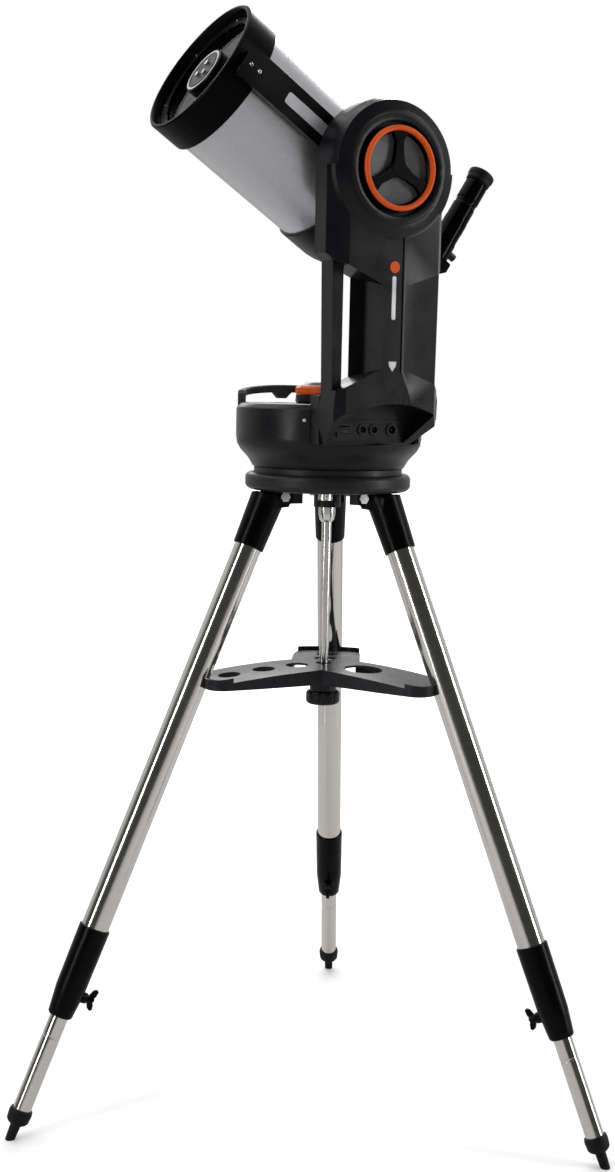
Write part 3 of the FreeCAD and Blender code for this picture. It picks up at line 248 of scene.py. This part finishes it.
def make_castings():
    """Painted and anodised metal."""
    return {
        "casting": coated(
            "casting_black", (0.0016, 0.0016, 0.0018), (0.0028, 0.0028, 0.003), (0.28, 0.38),
            (0.0011, 0.00005), (0.02, 0.00003), specular=0.17, wear=(0.012, 0.012, 0.013)),
        "tripod_black": coated(
            "tripod_black", (0.0085, 0.0085, 0.0100), (0.0125, 0.0125, 0.0145), (0.36, 0.48),
            (0.0011, 0.00006), (0.02, 0.00003), wear=(0.03, 0.03, 0.031)),
        "cell": coated(
            "cell_black", (0.0008, 0.0008, 0.0009), (0.0014, 0.0014, 0.0016), (0.26, 0.34),
            (0.0011, 0.00004), (0.02, 0.00003), specular=0.05, wear=(0.01, 0.01, 0.011)),
        "optic_black": coated(
            "optic_black", (0.0008, 0.0008, 0.001), (0.0014, 0.0014, 0.0016), (0.12, 0.18),
            (0.0006, 0.00001), (0.02, 0.00001), specular=0.06),
        "anodised": coated(
            "anodised_black", (0.003, 0.003, 0.0035), (0.0055, 0.0055, 0.006), (0.26, 0.36),
            (0.0004, 0.000012), (0.02, 0.00001), metallic=0.2, specular=0.16, wear=(0.05, 0.05, 0.055)),
        "flocked": coated(
            "inner_black", (0.004, 0.004, 0.004), (0.007, 0.007, 0.007), (0.8, 0.95),
            (0.0005, 0.00008), specular=0.2),
    }


def make_plastics():
    """Moulded plastic, rubber and printed trim."""
    return {
        "sleeve": coated(
            "sleeve_black", (0.0008, 0.0008, 0.0009), (0.0015, 0.0015, 0.0017), (0.24, 0.32),
            (0.0007, 0.00002), (0.02, 0.00003), specular=0.09),
        "moulded": coated(
            "moulded_black", (0.0050, 0.0049, 0.0066), (0.0072, 0.0071, 0.0092), (0.26, 0.36),
            (0.0007, 0.00002), (0.03, 0.00005), specular=0.22, wear=(0.014, 0.014, 0.015)),
        "drum": coated(
            "drum_black", (0.0008, 0.0008, 0.0009), (0.0014, 0.0014, 0.0016), (0.26, 0.34),
            (0.0007, 0.00002), (0.03, 0.00004), specular=0.08),
        "gloss": coated(
            "gloss_black", (0.010, 0.010, 0.013), (0.016, 0.016, 0.020), (0.22, 0.32),
            (0.0009, 0.00001), (0.03, 0.00008), specular=0.2),
        "rubber": coated(
            "rubber_black", (0.0028, 0.0028, 0.0028), (0.005, 0.005, 0.005), (0.5, 0.66),
            (0.0008, 0.00007), (0.01, 0.00006), specular=0.2),
        "orange": coated(
            "orange_plastic", (0.68, 0.085, 0.009), (0.76, 0.105, 0.012), (0.30, 0.38),
            (0.0006, 0.000015), (0.01, 0.00003), specular=0.2),
        "lobe": coated(
            "lobe_grey", (0.075, 0.076, 0.078), (0.11, 0.11, 0.113), (0.24, 0.34),
            (0.0008, 0.00002), (0.012, 0.00002)),
        "label": coated(
            "label_silver", (0.55, 0.56, 0.58), (0.68, 0.69, 0.71), (0.28, 0.38),
            (0.0005, 0.00001), (0.01, 0.00001), metallic=0.45),
    }


def make_metals():
    """Bare metal, and the steel of each leg with its rings square to that leg."""
    made = {
        "motor": coated("motor_metal", (0.16, 0.16, 0.17), (0.24, 0.24, 0.25), (0.35, 0.5), metallic=0.7),
        "zinc": steel("bright_zinc", (0.78, 0.77, 0.75), (0.14, 0.28), None, 0.0006, 0.000006),
        "machined": steel("machined_aluminium", (0.62, 0.62, 0.63), (0.22, 0.36), None, 0.0005, 0.00001),
        "rod_steel": steel("stainless_rod", (0.74, 0.73, 0.70), (0.12, 0.2), None),
    }
    for side, azimuth in LEG_AZIMUTHS.items():
        tilt = (0.0, -LEG_TILT, math.radians(azimuth))
        made["steel_" + side] = steel("stainless_" + side, (0.74, 0.72, 0.69), (0.10, 0.17), tilt)
    return made


def make_materials():
    made = {
        "tube_paint": tube_paint("tube_paint", (0.36, 0.36, 0.38), (0.58, 0.58, 0.61)),
        "glass": glass("optical_glass", (0.93, 0.97, 0.96)),
        "mirror": mirror("mirror_coating"),
        "circuit": circuit("circuit_board"),
    }
    for group in (make_castings(), make_plastics(), make_metals()):
        made.update(group)
    return made


FINISH = {
    "tripod_head": "tripod_black", "head_bolts": "zinc", "base_plate": "tripod_black",
    "centre_rod": "rod_steel",
    "tray": "gloss", "tray_knob": "moulded", "base_housing": "moulded", "carry_handle": "rubber",
    "electronics": "circuit", "drive_units": "motor", "arm_shell": "moulded", "arm_cover": "moulded",
    "trim_badge": "orange", "trim_marks": "label", "port_panel": "moulded", "azimuth_knob": "moulded",
    "azimuth_knob_band": "orange", "power_switch": "gloss", "altitude_shaft": "machined",
    "saddle": "casting", "altitude_knob": "drum", "altitude_knob_rim": "orange",
    "saddle_knob": "rubber", "tube_barrel": "tube_paint", "front_cell": "cell",
    "corrector_plate": "glass", "retaining_ring": "anodised", "tube_screws": "zinc",
    "tube_plates": "label", "secondary_holder": "anodised", "secondary_mirror": "mirror",
    "rear_cell": "casting", "visual_back": "anodised", "dovetail_bar": "anodised",
    "finder_body": "moulded", "finder_window": "glass", "primary_mirror": "mirror",
    "mirror_carrier": "machined", "focus_knob": "rubber", "diagonal_housing": "optic_black",
    "diagonal_mirror": "mirror", "diagonal_screw": "moulded", "eyepiece_body": "optic_black",
    "eyepiece_lenses": "glass", "eyecup": "rubber",
}
for side in LEG_AZIMUTHS:
    FINISH["upper_tube_" + side] = "steel_" + side
    FINISH["lower_tube_" + side] = "steel_" + side
    FINISH["leg_castings_" + side] = "sleeve"
    FINISH["leg_knob_" + side] = "sleeve"
    FINISH["foot_" + side] = "rubber"


# ---------------------------------------------------------------- carried-over nodes

def smooth_by_angle(name, angle):
    """Geometry node group that shades smooth everywhere but at edges sharper than angle."""
    group = bpy.data.node_groups.new(name, "GeometryNodeTree")
    group.interface.new_socket("Geometry", in_out="INPUT", socket_type="NodeSocketGeometry")
    group.interface.new_socket("Geometry", in_out="OUTPUT", socket_type="NodeSocketGeometry")
    source = group.nodes.new("NodeGroupInput")
    sink = group.nodes.new("NodeGroupOutput")
    edges = group.nodes.new("GeometryNodeInputMeshEdgeAngle")
    small = group.nodes.new("FunctionNodeCompare")
    small.data_type = "FLOAT"
    small.operation = "LESS_THAN"
    small.inputs[1].default_value = angle
    faces = group.nodes.new("GeometryNodeSetShadeSmooth")
    sharp = group.nodes.new("GeometryNodeSetShadeSmooth")
    sharp.domain = "EDGE"
    group.links.new(source.outputs[0], faces.inputs["Geometry"])
    group.links.new(faces.outputs[0], sharp.inputs["Geometry"])
    group.links.new(edges.outputs["Unsigned Angle"], small.inputs[0])
    group.links.new(small.outputs[0], sharp.inputs["Shade Smooth"])
    group.links.new(sharp.outputs[0], sink.inputs[0])
    return group


BEVEL_WIDTH = {
    "corrector_plate": 0.0, "primary_mirror": 0.0, "secondary_mirror": 0.0, "diagonal_mirror": 0.0,
    "eyepiece_lenses": 0.0, "finder_window": 0.0, "electronics": 0.0, "drive_units": 0.0,
    "trim_marks": 0.0002, "tube_screws": 0.0002, "tube_plates": 0.0001, "tube_barrel": 0.0002,
}


def paint_faces(obj, material, chosen):
    """Give the faces that chosen accepts (by centre and normal) a second material."""
    obj.data.materials.append(material)
    index = len(obj.data.materials) - 1
    for face in obj.data.polygons:
        if chosen(face.center, face.normal):
            face.material_index = index


def in_bore(centre, normal):
    """Faces of the tube that look at its axis."""
    local = tube_matrix().inverted() @ centre
    turned = tube_matrix().to_3x3().inverted() @ normal
    return turned.x * local.x + turned.y * local.y < -0.01


def knob_floor(centre, normal):
    """Floor between the ribs of the altitude knob, set back from its face."""
    across = math.hypot(centre.x - ALT_AXIS.x, centre.z - ALT_AXIS.z)
    return across < 0.0448 and -0.1695 < centre.y < -0.1660 and normal.y < -0.5


def dress_nodes(materials):
    smooth = smooth_by_angle("smooth_by_angle", math.radians(SMOOTH_BELOW))
    for name, obj in NODES.items():
        material = materials[FINISH[name]]
        obj.data.materials.clear()
        obj.data.materials.append(material)
        if name == "tube_barrel":
            paint_faces(obj, materials["flocked"], in_bore)
        if name == "altitude_knob":
            paint_faces(obj, materials["lobe"], knob_floor)
        custom = obj.data.attributes.get("custom_normal")
        if custom:
            obj.data.attributes.remove(custom)
        weld = obj.modifiers.new("weld", "WELD")
        weld.merge_threshold = WELD_DISTANCE
        width = BEVEL_WIDTH.get(name, EDGE_ROUNDING)
        if width:
            bevel = obj.modifiers.new("bevel", "BEVEL")
            bevel.width = width
            bevel.segments = 2
            bevel.limit_method = "ANGLE"
            bevel.angle_limit = math.radians(BEVEL_ABOVE)
            bevel.use_clamp_overlap = True
        shading = obj.modifiers.new("shading", "NODES")
        shading.node_group = smooth
        if width:
            weighted = obj.modifiers.new("weighted", "WEIGHTED_NORMAL")
            weighted.keep_sharp = True


# ---------------------------------------------------------------- stage and light

def floor_material():
    """White floor that glows far out where the camera sees it, and a grey one where it only reflects."""
    material, shader, coords = start_material("floor_white")
    nodes = material.node_tree.nodes
    cloud = ramp(material, noise(material, coords, 0.6, 3.0), 0.0, 1.0)
    white = mix_colour(material, cloud, (0.86, 0.86, 0.86), (0.88, 0.88, 0.88))
    link(material, white, MIX_RESULT, shader, "Base Color")
    shader.inputs["Roughness"].default_value = 0.6
    shader.inputs["Specular IOR Level"].default_value = 0.1
    reach = nodes.new("ShaderNodeVectorMath")
    reach.operation = "LENGTH"
    link(material, coords[0], coords[1], reach, 0)
    glow = ramp(material, reach, 0.05, 0.75, GLOW_START, GLOW_END, "Value")
    glow.interpolation_type = "SMOOTHSTEP"
    shader.inputs["Emission Color"].default_value = (1.0, 1.0, 1.0, 1.0)
    link(material, glow, 0, shader, "Emission Strength")
    reflected = nodes.new("ShaderNodeBsdfDiffuse")
    grey = mix_colour(material, cloud, (0.48, 0.475, 0.47), (0.52, 0.515, 0.51))
    link(material, grey, MIX_RESULT, reflected, "Color")
    path = nodes.new("ShaderNodeLightPath")
    seen = nodes.new("ShaderNodeMixShader")
    link(material, path, "Is Camera Ray", seen, 0)
    link(material, reflected, 0, seen, 1)
    link(material, shader, 0, seen, 2)
    link(material, seen, 0, nodes["Material Output"], "Surface")
    return material


def make_stage():
    mesh = bpy.data.meshes.new("floor")
    b = bmesh.new()
    bmesh.ops.create_circle(b, cap_ends=True, segments=96, radius=FLOOR_RADIUS)
    b.to_mesh(mesh)
    b.free()
    mesh.materials.append(floor_material())
    floor = bpy.data.objects.new("floor", mesh)
    SCENE.collection.objects.link(floor)


def area_light(name, place, target, size, power):
    data = bpy.data.lights.new(name, "AREA")
    data.shape = "RECTANGLE"
    data.size, data.size_y = size
    data.energy = power
    light = bpy.data.objects.new(name, data)
    direction = Vector(target) - Vector(place)
    aim = direction.to_track_quat("-Z", "Y").to_matrix().to_4x4()
    light.matrix_world = Matrix.Translation(place) @ aim
    SCENE.collection.objects.link(light)


def make_world():
    """White where the camera sees it; elsewhere bright behind the object and dark in front of it."""
    world = bpy.data.worlds.new("world")
    world.use_nodes = True
    tree = world.node_tree
    dim = tree.nodes["Background"]
    dim.inputs["Strength"].default_value = 1.0
    bright = tree.nodes.new("ShaderNodeBackground")
    bright.inputs["Color"].default_value = (1.0, 1.0, 1.0, 1)
    bright.inputs["Strength"].default_value = 1.0
    coords = tree.nodes.new("ShaderNodeTexCoord")
    facing = tree.nodes.new("ShaderNodeVectorMath")
    facing.operation = "DOT_PRODUCT"
    facing.inputs[1].default_value = (0.45, 0.80, 0.40)
    tree.links.new(coords.outputs["Generated"], facing.inputs[0])
    fade = tree.nodes.new("ShaderNodeMapRange")
    fade.interpolation_type = "SMOOTHSTEP"
    fade.inputs["From Min"].default_value = -0.15
    fade.inputs["From Max"].default_value = 0.55
    fade.inputs["To Min"].default_value = 0.05
    fade.inputs["To Max"].default_value = 0.62
    tree.links.new(facing.outputs["Value"], fade.inputs["Value"])
    tree.links.new(fade.outputs[0], dim.inputs["Color"])
    path = tree.nodes.new("ShaderNodeLightPath")
    mix = tree.nodes.new("ShaderNodeMixShader")
    tree.links.new(path.outputs["Is Camera Ray"], mix.inputs[0])
    tree.links.new(dim.outputs[0], mix.inputs[1])
    tree.links.new(bright.outputs[0], mix.inputs[2])
    tree.links.new(mix.outputs[0], tree.nodes["World Output"].inputs["Surface"])
    SCENE.world = world
    SCENE.view_settings.view_transform = "Standard"


def make_lights():
    centre = (0.0, 0.0, 0.9)
    area_light("key_left", (-3.4, -0.6, 1.9), centre, (0.5, 3.2), 46)
    area_light("key_right", (2.6, -2.4, 1.7), centre, (0.6, 3.0), 60)
    area_light("rim_back", (1.2, 3.4, 2.6), centre, (2.2, 1.4), 36)
    area_light("tube_edge", (1.75, 1.45, 2.66), (-0.1, 0.0, 1.36), (1.5, 0.5), 24)
    data = bpy.data.lights.new("overhead", "SUN")
    data.energy = 1.5
    data.angle = math.radians(70)
    overhead = bpy.data.objects.new("overhead", data)
    overhead.rotation_euler = (math.radians(-14), math.radians(-16), 0)
    SCENE.collection.objects.link(overhead)


make_camera()
make_stage()
make_world()
make_lights()
MATERIALS = make_materials()
dress_nodes(MATERIALS)
